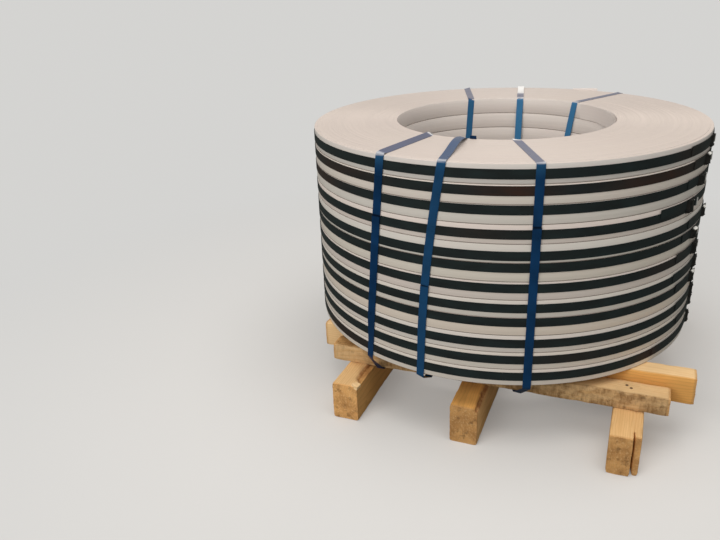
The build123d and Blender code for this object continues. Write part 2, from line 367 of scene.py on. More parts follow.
class Finish:
    """The shader nodes of a material or of the world, added one by one."""

    def __init__(self, owner):
        owner.use_nodes = True
        self.owner = owner
        self.tree = owner.node_tree

    def feed(self, target, inputs):
        """Give a node's inputs numbers, or link them to other nodes' sockets."""
        for key, value in inputs.items():
            if is_socket(value):
                self.tree.links.new(value, target.inputs[key])
            else:
                target.inputs[key].default_value = value

    def node(self, kind, inputs=None, **settings):
        """Add a node with its settings and inputs."""
        made = self.tree.nodes.new(kind)
        for key, value in settings.items():
            setattr(made, key, value)
        self.feed(made, inputs or {})
        return made

    def calc(self, operation, first, second=0.0):
        """One sum of a Math node."""
        return self.node("ShaderNodeMath", {0: first, 1: second}, operation=operation).outputs[0]

    def plus(self, first, second):
        """Two values added."""
        return self.calc("ADD", first, second)

    def times(self, first, second):
        """Two values multiplied."""
        return self.calc("MULTIPLY", first, second)

    def distance(self, first, second):
        """Distance from an axis, from the two coordinates across it."""
        return self.calc("SQRT", self.plus(self.times(first, first), self.times(second, second)))

    def mix(self, share, first, second, blend="MIX"):
        """Two colours mixed by a share."""
        first, second = (value if is_socket(value) else (*value, 1.0) for value in (first, second))
        inputs = {0: share, 6: first, 7: second}
        return self.node("ShaderNodeMix", inputs, data_type="RGBA", blend_type=blend).outputs[2]

    def ranged(self, value, low, high, to_low=0.0, to_high=1.0):
        """A value mapped from one range to another and held inside it."""
        inputs = {0: value, 1: low, 2: high, 3: to_low, 4: to_high}
        return self.node("ShaderNodeMapRange", inputs, clamp=True).outputs[0]

    def coats(self, tone, *coats):
        """A tone with coats laid over it: each is a pattern, the value at which it starts to show,
        the value at which it is full, its strength there and its colour."""
        for pattern, start, full, strength, colour in coats:
            tone = self.mix(self.ranged(pattern, start, full, 0.0, strength), tone, colour)
        return tone

    def stretched(self, vector, scale, turn=(0.0, 0.0, 0.0), shift=(0.0, 0.0, 0.0)):
        """Coordinates scaled along each axis, turned and shifted."""
        inputs = {"Vector": vector, "Location": shift, "Rotation": turn, "Scale": scale}
        return self.node("ShaderNodeMapping", inputs).outputs[0]

    def grain(self, vector, scale, detail=4.0, roughness=0.55, stretch=None):
        """Noise about a half, on coordinates that may be scaled along each axis first."""
        if stretch:
            vector = self.stretched(vector, stretch)
        inputs = {"Vector": vector, "Scale": scale, "Detail": detail, "Roughness": roughness}
        return self.node("ShaderNodeTexNoise", inputs).outputs[0]

    def places(self):
        """Object coordinates."""
        return self.node("ShaderNodeTexCoord").outputs["Object"]

    def parts(self, vector):
        """The three coordinates of a vector."""
        return self.node("ShaderNodeSeparateXYZ", {0: vector}).outputs

    def marks(self, name):
        """Shares stored on the piece's vertices."""
        return self.node("ShaderNodeAttribute", attribute_name=name).outputs["Fac"]

    def in_view(self):
        """1 for what the camera sees, and 0 for what lights other things."""
        return self.node("ShaderNodeLightPath").outputs["Is Camera Ray"]

    def dress(self, colour, roughness, relief=None, depth=0.0, specular=0.5):
        """Connect colour, roughness and a bump of a depth in metres to the shader."""
        inputs = {"Base Color": colour, "Roughness": roughness, "Specular IOR Level": specular}
        if relief is not None:
            bump = self.node("ShaderNodeBump", {"Height": relief, "Strength": 1.0, "Distance": depth})
            inputs["Normal"] = bump.outputs[0]
        self.feed(self.tree.nodes["Principled BSDF"], inputs)
        return self.owner


def new_finish(name):
    """An undressed material."""
    return Finish(bpy.data.materials.new(name))


def wound_ends(colour):
    """Slit edges of hundreds of turns: fine rings, faint tone groups, a soft radial sheen from the shader and
    a painted highlight fan on two sides.
    """
    finish = new_finish("wound_strip_edges")
    spot = finish.places()
    along, across, _ = finish.parts(spot)
    radius = finish.distance(along, across)
    drift = 0.006
    drifting = {0: radius, 1: finish.times(along, drift), 2: finish.times(across, drift)}
    rolled = finish.node("ShaderNodeCombineXYZ", drifting).outputs[0]
    fine = finish.grain(rolled, 900.0, 3.0, 0.7)
    groups = finish.grain(rolled, 60.0, 3.0, 0.6)
    clouds = finish.grain(spot, 2.6, 3.0)
    tone = finish.coats(
        shade(colour, 0.985),
        (groups, 0.35, 0.65, 1.0, shade(colour, 1.01)),
        (fine, 0.3, 0.7, 0.05, shade(colour, 0.72)),
        (clouds, 0.35, 0.7, 0.35, shade(colour, 0.97, 0.95, 0.99)),
    )
    # Painted highlight: a lighter fan on the two sides of the open end that lie along X
    fan_along, fan_across, fan_sharpness, fan_strength = 0.99, 0.14, 26.0, 0.3
    facing = finish.plus(finish.times(along, fan_along), finish.times(across, fan_across))
    toward = finish.calc("ABSOLUTE", finish.calc("DIVIDE", facing, radius))
    fan_highlight = finish.times(finish.calc("POWER", toward, fan_sharpness), fan_strength)
    tone = finish.mix(fan_highlight, tone, shade(colour, 1.35))
    material = finish.dress(tone, finish.ranged(groups, 0.3, 0.7, 0.34, 0.46), fine, 0.05 * MM)
    tangent = finish.node("ShaderNodeTangent", direction_type="RADIAL", axis="Z").outputs[0]
    finish.feed(finish.tree.nodes["Principled BSDF"], {"Anisotropic": 0.75, "Tangent": tangent})
    return material


def coated_wall(name, colour, tint=(1.0, 1.0, 1.0)):
    """Coated strip: satin, with thin streaks along the turns and a faint tint of its own."""
    finish = new_finish(name)
    spot = finish.places()
    streaks = finish.grain(spot, 2.0, 4.0, 0.6, stretch=(1.2, 1.2, 420.0))
    clouds = finish.grain(spot, 3.2, 3.0, stretch=(1.0, 1.0, 9.0))
    scuffs = finish.grain(spot, 2.0, 5.0, 0.65, stretch=(14.0, 14.0, 260.0))
    base = shade(colour, *tint)
    tone = finish.coats(
        shade(base, 0.93),
        (streaks, 0.3, 0.7, 1.0, shade(base, 1.05)),
        (clouds, 0.3, 0.7, 0.5, shade(base, 1.02, 0.96, 0.96)),
        (scuffs, 0.62, 0.8, 0.35, shade(base, 0.7)),
    )
    return finish.dress(tone, finish.ranged(streaks, 0.3, 0.7, 0.34, 0.5), streaks, 0.04 * MM)


def mottled(name, colour, scale, light, dark, roughness, depth=0.0):
    """One tone with a mottle, and with a bump of its depth in metres where there is one."""
    finish = new_finish(name)
    mottle = finish.grain(finish.places(), scale)
    tone = finish.mix(mottle, shade(colour, dark), shade(colour, light))
    return finish.dress(tone, roughness, mottle if depth else None, depth)


def black_wax(colour, tint):
    """Waxed black band: half gloss, brown where the wax is thin, with dust and light scratches."""
    finish = new_finish("black_wax")
    spot = finish.places()
    mottle = finish.grain(spot, 2.0, 4.0, stretch=(9.0, 9.0, 30.0))
    scratches = finish.grain(spot, 2.0, 4.0, 0.7, stretch=(16.0, 16.0, 900.0))
    dust, bare_steel = (0.09, 0.09, 0.085), (0.62, 0.62, 0.6)
    brown = finish.times(finish.marks("brown"), finish.ranged(mottle, 0.3, 0.6, 0.45, 1.0))
    tone = finish.coats(colour, (mottle, 0.35, 0.7, 1.0, shade(colour, 1.2, 1.4, 1.4)))
    tone = finish.mix(brown, tone, tint)
    tone = finish.coats(tone, (scratches, 0.64, 0.8, 0.35, dust))
    tone = finish.mix(finish.marks("bare"), tone, bare_steel)
    return finish.dress(tone, finish.ranged(mottle, 0.3, 0.7, 0.42, 0.6), scratches, 0.05 * MM, 0.07)


def seal_black():
    """Crimped seal: dark, with bare steel on rubbed crimps and a painted highlight in bare steel colour along
    some upper edges.
    """
    finish = new_finish("seal_black")
    mottle = finish.grain(finish.places(), 90.0, 5.0)
    dark, worn, bare_steel = (0.007, 0.008, 0.008), (0.022, 0.021, 0.019), (0.8, 0.8, 0.76)
    tone = finish.coats(dark, (mottle, 0.35, 0.65, 1.0, worn))
    tone = finish.mix(finish.marks("bare"), tone, bare_steel)
    return finish.dress(tone, finish.ranged(mottle, 0.3, 0.7, 0.42, 0.62), mottle, 0.1 * MM, 0.1)


def blue_paint(colour):
    """Glossy blue paint on steel strap, with painted light where marked: painted sheen, a grey painted sky
    reflection, white painted highlights and a dark painted shadow line at the cut end.
    """
    finish = new_finish("blue_strap_paint")
    spot = finish.places()
    mottle = finish.grain(spot, 24.0, 4.0)
    fine = finish.grain(spot, 380.0, 3.0)
    tone = finish.coats(
        shade(colour, 0.75),
        (mottle, 0.3, 0.7, 1.0, shade(colour, 1.35)),
        (fine, 0.68, 0.8, 0.4, (0.04, 0.09, 0.2)),
    )
    # Painted light, each where its mark says: a brighter blue painted sheen, a grey-lilac painted sky
    # reflection, a white painted highlight at the bends and a near-black painted shadow line at the cut end
    painted_light_colours = {
        "fresh": (0.042, 0.17, 0.34),
        "painted_reflection": (0.29, 0.28, 0.335),
        "worn": (0.86, 0.86, 0.85),
        "cut": (0.001, 0.004, 0.014),
    }
    for mark, marked in painted_light_colours.items():
        tone = finish.mix(finish.marks(mark), tone, marked)
    return finish.dress(tone, finish.ranged(mottle, 0.3, 0.7, 0.26, 0.4), fine, 0.02 * MM, 0.12)


def sawn_pine(name, sizes, along, pith, weather, pale=1.0, figure=1.0, end_pale=1.0):
    """Rough-sawn pine: growth rings about a pith line, fibres, stains, bark and end grain; its tan and stain
    marks also carry painted shade where the pack shades the timbers.
    """
    finish = new_finish(name)
    turn = 0.0 if along == "X" else -math.pi / 2
    lying = finish.stretched(finish.places(), (1.0, 1.0, 1.0), (0.0, 0.0, turn), pith)
    _, beside, above = finish.parts(lying)
    rings_in_a_metre, ring_sway = 190.0, 0.045
    wander = finish.grain(lying, 1.6, 3.0, stretch=(1.6, 7.0, 7.0))
    bowed = finish.plus(finish.distance(beside, above), finish.times(wander, ring_sway))
    late = finish.ranged(finish.calc("FRACT", finish.times(bowed, rings_in_a_metre)), 0.55, 0.98)
    fibres = finish.grain(lying, 2.2, 4.0, 0.65, stretch=(5.0, 240.0, 240.0))
    coarse = finish.grain(lying, 2.0, 4.0, stretch=(3.0, 26.0, 26.0))
    clouds = finish.grain(lying, 1.5, 4.0, stretch=(4.0, 12.0, 12.0))
    teeth = finish.grain(lying, 2.0, 5.0, 0.7, stretch=(95.0, 95.0, 16.0))
    blotches = finish.grain(lying, 2.0, 5.0, 0.65, stretch=(16.0, 22.0, 22.0))
    spots = finish.grain(lying, 60.0, 5.0, 0.65)
    patches = finish.grain(lying, 26.0, 5.0, 0.6)
    flecks = finish.grain(lying, 230.0, 3.0, 0.6)
    bark_brown = (0.36, 0.15, 0.05)
    end_early, end_late, end_patch = (0.66, 0.36, 0.13), (0.44, 0.22, 0.075), (0.36, 0.17, 0.055)
    end_fleck, end_pore = (0.72, 0.46, 0.21), (0.19, 0.09, 0.03)

    tone = finish.mix(finish.times(late, 0.5 * figure), shade(sizes.fresh, pale), sizes.late)
    tone = finish.coats(
        tone,
        (fibres, 0.35, 0.75, 0.4 * figure, shade(sizes.late, 0.72)),
        (coarse, 0.5, 0.8, 0.4 * figure, sizes.late),
    )
    # Tan, which also serves as painted shade under the pack
    tan_and_shade_tone = finish.mix(finish.times(late, 0.4), sizes.tan_and_shade, shade(sizes.tan_and_shade, 0.62))
    tone = finish.mix(finish.marks("tan_and_shade"), tone, tan_and_shade_tone)
    tone = finish.coats(tone, (clouds, 0.42, 0.72, weather, sizes.weathered_and_shade))

    # Stains, which on the battens' tops also paint the pack's shadow
    stain_and_shade = finish.marks("stain_and_shade")
    saw_marks = finish.ranged(teeth, 0.36, 0.62, 0.5, 1.0)
    stains = finish.times(saw_marks, finish.ranged(blotches, 0.4, 0.56, 0.42, 1.0))
    tone = finish.mix(finish.times(stain_and_shade, stains), tone, sizes.weathered_and_shade)
    cracks = finish.ranged(spots, 0.56, 0.7, 0.0, 0.7)
    tone = finish.mix(finish.times(stain_and_shade, cracks), tone, shade(sizes.weathered_and_shade, 0.35))

    sawn_end = finish.coats(
        finish.mix(finish.times(late, 0.25), end_early, end_late),
        (patches, 0.42, 0.62, 0.75, end_patch),
        (flecks, 0.52, 0.66, 0.6, end_fleck),
        (spots, 0.56, 0.68, 0.7, end_pore),
    )
    sawn_end = finish.mix(1.0, sawn_end, [end_pale] * 3, "MULTIPLY")
    tone = finish.mix(finish.marks("end_grain"), tone, sawn_end)
    bark = finish.times(finish.marks("bark"), finish.ranged(spots, 0.38, 0.6, 0.45, 1.0))
    tone = finish.mix(bark, tone, bark_brown)

    relief = finish.plus(finish.times(fibres, 0.6), finish.times(late, 0.3))
    relief = finish.plus(relief, finish.times(spots, finish.times(stain_and_shade, 1.2)))
    return finish.dress(tone, 0.78, relief, 0.5 * MM, 0.3)


# Coils

WALL, ENDS, JOINT_SHADE, LINING = range(4)


def broken_corner(radius, height, out, up, size):
    """Three points of a slit edge broken to a small round, from the end face to the wall."""
    return [
        (radius - out * size, height),
        (radius - out * 0.3 * size, height - up * 0.3 * size),
        (radius, height - up * size),
    ]


def turned_end(inner, outer, level, up, sizes, draw):
    """Points of an open end from the bore to the rim: groups of turns at uneven heights."""
    groove = 0.08 * MM
    edge_turns_drop = 1.0 * MM
    points = []
    start = inner
    while start < outer - sizes.turn_pitch / 2:
        stop = min(outer, start + sizes.turn_pitch * draw.uniform(0.5, 1.5))
        if outer - stop < sizes.turn_pitch / 2:
            stop = outer
        share = (start - inner) / (outer - inner)
        drop = draw.random() ** 2 * sizes.turn_step
        if share < 0.03:
            drop += sizes.bore_drop
        if share > 0.965:
            drop += edge_turns_drop
        points.append((start + groove, level - up * drop))
        points.append((stop - groove, level - up * drop))
        start = stop
    return points


def coil_profile(index, sizes, draw):
    """Closed half section of one coil, with its turns on the end that is open."""
    low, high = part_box(f"slit_coil_{index + 1:02d}")
    unevenness = 0.5 * MM
    inner = BORE_RADIUS + draw.uniform(0.0, 1.0) * unevenness
    outer = RIM_RADIUS - draw.uniform(0.0, 1.0) * unevenness
    size = sizes.edge_break
    ends = []
    for level, up, is_open in ((high[2], 1, index == 0), (low[2], -1, index == COIL_COUNT - 1)):
        rim_level = level - up * sizes.rim_drop * is_open
        bore_level = level - up * sizes.bore_drop * is_open
        turns = turned_end(inner + size, outer - size, level, up, sizes, draw) if is_open else []
        bore = broken_corner(inner, bore_level, -1, up, size)
        ends.append(bore[::-1] + turns + broken_corner(outer, rim_level, 1, up, size))
    return ends[0] + ends[1][::-1]


def paint_coil(bm, index, low, high, sizes):
    """Give the walls and the ends their finishes, and paint shade on the broken edges between coils and under
    the pack; the pack's top edge keeps the wall's finish.
    """
    top = high[2] - sizes.rim_drop * (index == 0)
    bottom = low[2] + sizes.rim_drop * (index == COIL_COUNT - 1)
    reach = 1.05 * sizes.edge_break
    for face in bm.faces:
        middle = face.calc_center_median()
        if abs(face.normal.z) > 0.9:
            face.material_index = ENDS
        elif top - middle.z < reach:
            face.material_index = WALL if index == 0 else JOINT_SHADE
        elif middle.z - bottom < reach:
            face.material_index = JOINT_SHADE
        else:
            face.material_index = LINING if from_axis(middle) < BORE_RADIUS + 2 * MM else WALL


def build_coil(index, sizes, materials, draw):
    """One slit coil."""
    name = f"slit_coil_{index + 1:02d}"
    bm = spun_ring(coil_profile(index, sizes, draw), sizes.segments)
    bmesh.ops.recalc_face_normals(bm, faces=bm.faces)
    paint_coil(bm, index, *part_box(name), sizes)
    add_piece(bm, f"{name}_wound", materials, "coated_strip", name, crease=25.0)


class OBJECT_OT_slit_coils(bpy.types.Operator):
    """Turn the twelve slit coils"""

    bl_idname = "coil_pack.slit_coils"
    bl_label = "Slit Coils"

    def execute(self, context):
        sizes = context.scene.pack_coils
        draw = random.Random(11)
        ends = wound_ends(sizes.end_colour)
        # Painted shade for the broken edges between coils
        shading = mottled("joint_painted_shade", sizes.joint_shade_colour, 40.0, 1.6, 0.6, 0.7)
        lining = coated_wall("coated_bore_wall", sizes.bore_colour)
        for index in range(COIL_COUNT):
            wall = coated_wall(f"coated_wall_{index + 1:02d}", sizes.wall_colour, COIL_TINTS[index])
            build_coil(index, sizes, (wall, ends, shading, lining), draw)
        return {"FINISHED"}


def build_strip_end(name, first, last, shape, width, gauge, material):
    """A loose end of the strip between two azimuths in degrees, which follows the coil's wall."""
    count = max(8, int(abs(last - first)))
    sections = arc_sections(math.radians(first), math.radians(last), count, shape)
    bm = bent_strip(sections, width, gauge, gauge * 0.25)
    add_piece(bm, name, [material], "coated_strip")


class OBJECT_OT_strip_ends(bpy.types.Operator):
    """Add the loose inner and outer ends of the top coil's strip"""

    bl_idname = "coil_pack.strip_ends"
    bl_label = "Strip Ends"

    def execute(self, context):
        sizes = context.scene.pack_coils
        low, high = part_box("slit_coil_01")
        width = high[2] - low[2] - 1.0 * MM
        middle = (high[2] + low[2]) / 2 - 0.2 * MM
        lining = bpy.data.materials["coated_bore_wall"]
        paint = coated_wall("strip_end_coating", sizes.wall_colour, (1.1, 1.1, 1.12))

        def inner_turn(share):
            spring = math.sin(math.pi * min(1.0, share * 1.15)) ** 2
            return BORE_RADIUS - sizes.gauge - 5.0 * MM * spring, middle

        def outer_end(share):
            return RIM_RADIUS + (0.4 + 2.0 * rise(share)) * MM, PACK_TOP - (3.0 - 3.5 * rise(share)) * MM

        build_strip_end("top_coil_inner_turn", -12, 52, inner_turn, width, sizes.gauge, lining)
        build_strip_end("top_coil_outer_end", 76, 67, outer_end, 9.0 * MM, sizes.gauge, paint)
        return {"FINISHED"}


# Bands and seals


def band_middle(index, sizes):
    """Middle height of a band's ring."""
    low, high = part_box(f"coil_band_{index + 1:02d}")
    return high[2] - sizes.width / 2 if index in HIGH_BANDS else low[2] + sizes.width / 2


def band_sections(index, sizes):
    """Sections of one band, from its outer cut end, once round and on under the lap."""
    lap_start, slip, seal, _, _ = COIL_BANDS[index]
    first = math.radians(lap_start)
    lap = math.radians(seal) + sizes.tail - first
    total = FULL_TURN + lap
    inner = RIM_RADIUS + sizes.fit + sizes.thickness / 2
    middle = band_middle(index, sizes)
    settling, levelling, springing = math.radians(4.0), math.radians(40.0), math.radians(2.5)

    def wrapped(share):
        travelled = total * share
        lift = 1.05 * sizes.thickness * (1 - rise(travelled, lap, lap + settling))
        sprung_end = 0.7 * MM * rise(travelled, springing, 0.0)
        slipped = slip * MM * (1 - rise(travelled, lap, lap + levelling))
        return inner + lift + sprung_end, middle + slipped

    return arc_sections(first, first + total, round(total / sizes.step) + 1, wrapped)


def build_band(index, sizes, material):
    """One band with its lapped end, brown where the wax has gone thin."""
    name = f"coil_band_{index + 1:02d}"
    bm = bent_strip(band_sections(index, sizes), sizes.width, sizes.thickness, sizes.edge)
    piece = add_piece(bm, f"{name}_lapped", [material], "black_band", name)

    def brown(place):
        azimuth = math.degrees(math.atan2(place.y, place.x))
        share = 0.0
        for band, middle, spread, strength in BAND_TINTS:
            if band == index:
                share = max(share, strength * math.exp(-((azimuth - middle) / spread) ** 2))
        return share

    mark_verts(piece, "brown", brown)


def build_tail(index, sizes, material):
    """Cut tail of a band, sprung away from the pack beyond the seal, bare at its cut."""
    _, slip, seal, _, spring = COIL_BANDS[index]
    height = band_middle(index, sizes) + slip * MM
    seal_end = math.radians(seal) + sizes.seal_length / RIM_RADIUS / 2
    base = RIM_RADIUS + sizes.fit + 3.0 * sizes.thickness

    def sprung(share):
        return base + spring * MM * share ** 1.5, height

    sections = arc_sections(seal_end - math.radians(0.6), seal_end + math.radians(0.7), 8, sprung)
    bm = bent_strip(sections, sizes.width * 0.92, sizes.thickness, sizes.edge)
    piece = add_piece(bm, f"band_tail_{index + 1:02d}", [material], "black_band")
    cut_start, cut_end = base + 0.8 * spring * MM, base + 0.95 * spring * MM
    mark_verts(piece, "bare", lambda place: rise(from_axis(place), cut_start, cut_end))


class OBJECT_OT_coil_bands(bpy.types.Operator):
    """Wrap a black band round each coil, with its lap and cut tail"""

    bl_idname = "coil_pack.coil_bands"
    bl_label = "Coil Bands"

    def execute(self, context):
        sizes = context.scene.pack_bands
        wax = black_wax(sizes.colour, sizes.tint)
        for index in range(COIL_COUNT):
            build_band(index, sizes, wax)
            build_tail(index, sizes, wax)
        return {"FINISHED"}


def seal_depth(along, edge, half_length, stand_off):
    """How far a seal's sheet stands out, at a place along it and a distance from its long edge:
    folded lips, an open mouth at each end, and crimps pressed out along both edges."""
    mouth, fold, lip = 11.0 * MM, 2.5 * MM, 6.5 * MM
    crimp_pitch, crimp_size, crimp_height = 8.0 * MM, 1.6 * MM, 2.6 * MM
    depth = stand_off * rise(half_length - abs(along), 0.0, mouth) * (0.15 + 0.85 * rise(edge, 0.0, fold))
    for crimp in (-crimp_pitch, 0.0, crimp_pitch):
        near = math.exp(-((along - crimp) / crimp_size) ** 2)
        depth += crimp_height * near * rise(edge, lip, 0.0)
    return depth


def build_seal(index, sizes, material, draw):
    """One crimped seal, folded round the lapped band, with ragged edges, rubbed crimps and, on some seals, a
    painted highlight along the upper edge.
    """
    name = f"band_seal_{index + 1:02d}"
    low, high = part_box(name)
    length = sizes.seal_length
    half_height = (high[2] - low[2]) / 2
    middle = (high[2] + low[2]) / 2 + (HIGH_SEAL_LIFT if index in HIGH_BANDS else 0.0)
    azimuth = math.radians(COIL_BANDS[index][2])
    stand_off = COIL_BANDS[index][3] * MM
    base = RIM_RADIUS + sizes.fit + 2.2 * sizes.thickness
    skew = draw.uniform(-1.2, 1.2) * MM
    bm = bmesh.new()
    bmesh.ops.create_grid(bm, x_segments=40, y_segments=26, size=0.5)
    for vert in bm.verts:
        along = vert.co.x * length
        up = vert.co.y * 2 * half_height
        edge = half_height - abs(up)
        ragged = max(0.0, noise.noise(Vector((along * 320, up * 420, index * 3.1))))
        out = seal_depth(along, edge, length / 2, stand_off)
        out += (0.12 + 1.3 * ragged * rise(edge, 8.0 * MM, 3.0 * MM)) * MM
        height = middle + up + skew * along / length
        vert.co = ring_point(azimuth + along / RIM_RADIUS, base + out, height)
    bmesh.ops.recalc_face_normals(bm, faces=bm.faces)
    bmesh.ops.solidify(bm, geom=bm.faces[:], thickness=sizes.seal_wall)
    piece = add_piece(bm, f"{name}_crimped", [material], "seal_steel", name, crease=50.0)

    def rubbed_and_glint(place):
        proud = from_axis(place) - base - stand_off
        crimp = rise(proud, 1.9 * MM, 2.5 * MM) * draw.choice((0.0, 0.3, 0.9))
        beside = abs(math.atan2(place.y, place.x) - azimuth) * RIM_RADIUS
        # Painted highlight: bare steel colour along the seal's upper edge
        painted_glint = rise((place.z - middle) / half_height, 0.66, 0.76) * rise(beside, 10.0 * MM, 7.0 * MM)
        return max(crimp, painted_glint if index in GLINTING_SEALS else 0.0)

    mark_verts(piece, "bare", rubbed_and_glint)


class OBJECT_OT_band_seals(bpy.types.Operator):
    """Crimp a seal on each band's lap"""

    bl_idname = "coil_pack.band_seals"
    bl_label = "Band Seals"

    def execute(self, context):
        sizes = context.scene.pack_bands
        draw = random.Random(5)
        material = seal_black()
        for index in range(COIL_COUNT):
            build_seal(index, sizes, material, draw)
        return {"FINISHED"}


# Bundle straps


def strap_plane(row):
    """Point and unit normal of the plane in which a tight strap lies."""
    bore, top, bottom = (math.radians(azimuth) for azimuth in row[:3])
    high = ring_point(top, RIM_RADIUS, PACK_TOP)
    low = ring_point(bottom, RIM_RADIUS, PACK_BOTTOM)
    inner = ring_point(bore, BORE_RADIUS, PACK_TOP)
    return high, (high - low).cross(inner - low).normalized()


def wall_crossing(plane, radius, near, height):
    """Where a strap's plane crosses a round wall at a height, on the side of an azimuth."""
    point, normal = plane
    reach = (point.dot(normal) - normal.z * height) / (radius * math.hypot(normal.x, normal.y))
    square_on = math.atan2(normal.y, normal.x)
    swing = math.acos(max(-1.0, min(1.0, reach)))
    azimuth = max((square_on + swing, square_on - swing), key=lambda angle: math.cos(angle - near))
    return ring_point(azimuth, radius, height)


def skid_crossing(plane, across, height):
    """Where a strap's plane crosses a line along the cross timbers."""
    point, normal = plane
    along = (point.dot(normal) - normal.y * across - normal.z * height) / normal.x
    return Vector((along, across, height))


def lower_corners(plane, side, sizes):
    """Where a strap turns under the cross timbers' inner and outer edges, at the front or the back."""
    end = "front" if side < 0 else "back"
    outer_corner, inner_corner = (0, 1) if side < 0 else (1, 0)
    slack = 0.3 * MM
    gap = sizes.fit + sizes.thickness / 2 + slack
    clear = gap + sizes.width / 2 * abs(plane[1].y)
    outer_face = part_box(f"low_batten_{end}")[outer_corner][1] + side * clear
    inner_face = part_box(f"tall_timber_{end}")[inner_corner][1] - side * clear
    under = BEARER_TOP - gap - sizes.width / 2 * abs(plane[1].z)
    return skid_crossing(plane, inner_face, under), skid_crossing(plane, outer_face, under)


def strap_run(row, lie, sizes):
    """Centre line of one strap, from its covered end up the wall, round the pack and over the lap."""
    bow, hump, sway, bore_gap, _ = (value * MM for value in lie)
    plane = strap_plane(row)
    near = math.radians(row[1])
    side = math.copysign(1.0, near)
    stand_off = sizes.fit + sizes.thickness / 2
    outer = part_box("coil_band_03")[1][1] + stand_off
    inner = BORE_RADIUS - stand_off
    roof = PACK_TOP + stand_off
    lap_top = PACK_BOTTOM + row[3] * PACK_HEIGHT
    covered_end = lap_top - sizes.lap
    turn = PACK_BOTTOM - 6 * MM
    low_turn = turn - 10 * MM
    hump_place, hump_spread = 0.16, 0.14
    levels = 12

    def heights(first, last):
        return [first + (last - first) * step / levels for step in range(levels + 1)]

    def on_wall(height, lift=0.0):
        share = max(0.0, (height - PACK_BOTTOM) / PACK_HEIGHT)
        swing = sway * math.sin(math.pi * share) / outer
        place = Matrix.Rotation(swing, 3, "Z") @ wall_crossing(plane, outer + lift, near, height)
        return place, Vector((place.x, place.y, 0)).normalized()

    def in_bore(height):
        share = max(0.0, min(1.0, (height - PACK_BOTTOM) / PACK_HEIGHT))
        place = wall_crossing(plane, inner - bore_gap * math.sin(math.pi * share ** 2), near, height)
        return place, -Vector((place.x, place.y, 0)).normalized()

    run = [on_wall(height) for height in heights(covered_end, roof)]
    rim_place = run[-1][0]
    bore_place = in_bore(roof)[0]
    for share in heights(0.0, 1.0)[1:-1]:
        place = rim_place.lerp(bore_place, share)
        place.z += bow * math.sin(math.pi * share ** 1.6) ** 1.3
        place.z += hump * math.exp(-((share - hump_place) / hump_spread) ** 2)
        run.append((place, UP))
    run += [in_bore(height) for height in heights(roof, turn)]
    inner_corner, outer_corner = lower_corners(plane, side, sizes)
    if abs(run[-1][0].y) > abs(inner_corner.y):
        run.append((skid_crossing(plane, inner_corner.y, low_turn), Vector((0, -side, 0))))
    run.append((inner_corner, Vector((0, -side, -1)).normalized()))
    run.append((outer_corner, Vector((0, side, -1)).normalized()))
    for height in heights(turn, lap_top):
        over_lap = 1.1 * sizes.thickness * rise(height, covered_end - 12 * MM, covered_end)
        sprung_end = 1.6 * MM * rise(height, lap_top - 14 * MM, lap_top)
        run.append(on_wall(height, over_lap + sprung_end))
    return run


def densified(run, spacing):
    """Stations at an even spacing along a run of (place, outward) points."""
    dense = []
    for (start, start_out), (stop, stop_out) in zip(run, run[1:]):
        pieces = max(1, round((stop - start).length / spacing))
        for step in range(pieces):
            share = step / pieces
            dense.append((start.lerp(stop, share), start_out.lerp(stop_out, share)))
    return dense + [run[-1]]


def relaxed(stations, rounds):
    """Round a run's corners by averaging each station with its neighbours."""
    for _ in range(rounds):
        averaged = [
            tuple((before + here * 2 + after) / 4 for before, here, after in zip(*neighbours))
            for neighbours in zip(stations, stations[1:], stations[2:])
        ]
        stations = [stations[0], *averaged, stations[-1]]
    return stations


def strap_sections(stations):
    """Sections of (place, outward, across) square to the strap's run."""
    sections = []
    for index, (place, outward) in enumerate(stations):
        before = stations[max(0, index - 1)][0]
        after = stations[min(len(stations) - 1, index + 1)][0]
        forward = (after - before).normalized()
        across = forward.cross(outward).normalized()
        sections.append((place, across.cross(forward).normalized(), across))
    return sections


def tilted(section, degrees, width):
    """A section on the top face or the outer wall, tilted up on one of the strap's edges."""
    place, outward, across = section
    on_wall = rise(place.z, PACK_BOTTOM + 30 * MM, PACK_BOTTOM + 110 * MM)
    off_bore = rise(from_axis(place), BORE_RADIUS + 1 * MM, BORE_RADIUS + 13 * MM)
    lean = math.radians(degrees) * on_wall * off_bore
    turned = outward * math.cos(lean) + across * math.sin(lean)
    sideways = across * math.cos(lean) - outward * math.sin(lean)
    return place + outward * (width / 2 * math.sin(abs(lean))), turned, sideways


